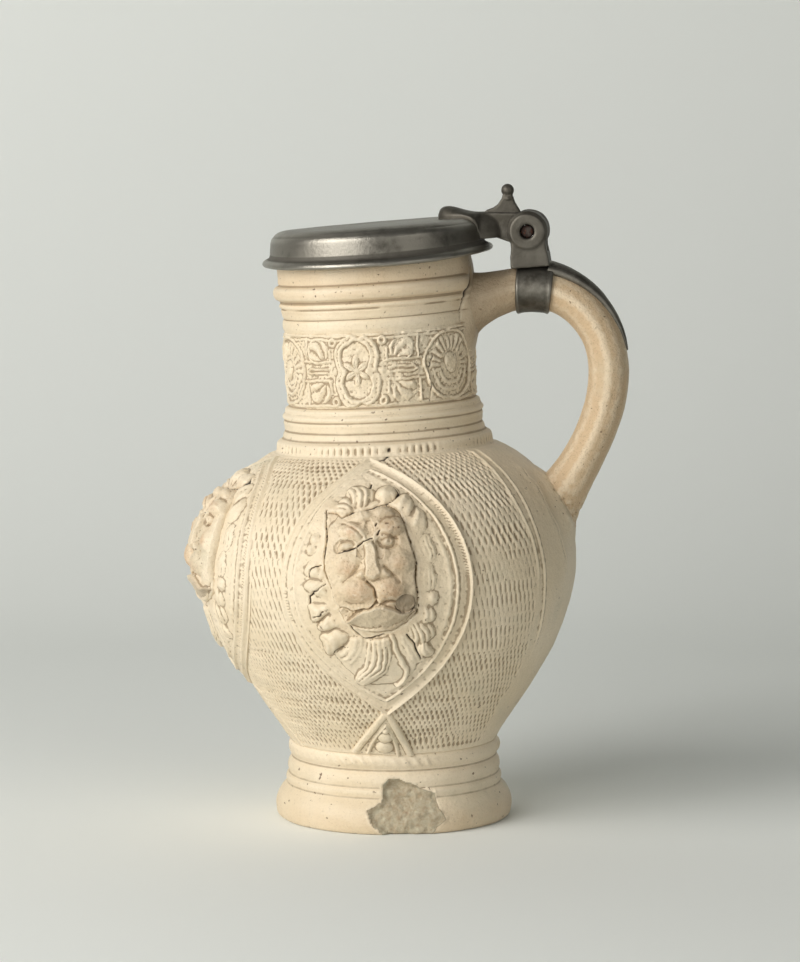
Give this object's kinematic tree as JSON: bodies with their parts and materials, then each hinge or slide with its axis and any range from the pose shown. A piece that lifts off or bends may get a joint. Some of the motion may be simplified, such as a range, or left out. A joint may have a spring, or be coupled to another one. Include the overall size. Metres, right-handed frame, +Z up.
{
  "type": "ceramic jug with pewter lid",
  "caption": "Round-bellied stoneware jug with lion masks in almond frames, a moulded neck band, a strap handle and a hinged pewter lid with a ball thumb rest.",
  "frame": {"origin": "centre of the foot's flat underside, on the surface that the jug stands on", "axes": "+Z up, +X towards the handle, -Y towards the side that the picture shows, so the front mask faces -X, turned 20 degrees towards -Y"},
  "size_m": [0.1676, 0.1522, 0.2404],
  "materials": {
    "stoneware": "grey-cream salt-glazed stoneware, softly shiny, warmer and browner on the handle",
    "pewter": null,
    "rusty_iron": "rusty iron pin"
  },
  "bodies": {
    "jug": {"vessel": "stoneware", "handle": "stoneware", "neck_frieze": "stoneware", "medallion_right": "stoneware", "lion_mask_right": "stoneware", "berry_sprig_right": "stoneware", "medallion_front": "stoneware", "lion_mask_front": "stoneware", "berry_sprig_front": "stoneware", "medallion_left": "stoneware", "lion_mask_left": "stoneware", "berry_sprig_left": "stoneware", "handle_band": "pewter", "handle_tail": "pewter", "hinge_block": "pewter", "hinge_pin": "rusty_iron"},
    "lid": {"lid": "pewter", "lid_tang": "pewter", "thumbpiece": "pewter"}
  },
  "joints": [
    {"name": "lid_hinge", "type": "hinge", "parent": "jug", "child": "lid", "pos_m": [0.0507, 0, 0.22269], "axis": [0, 1, 0], "range_deg": [0, 110]}
  ]
}
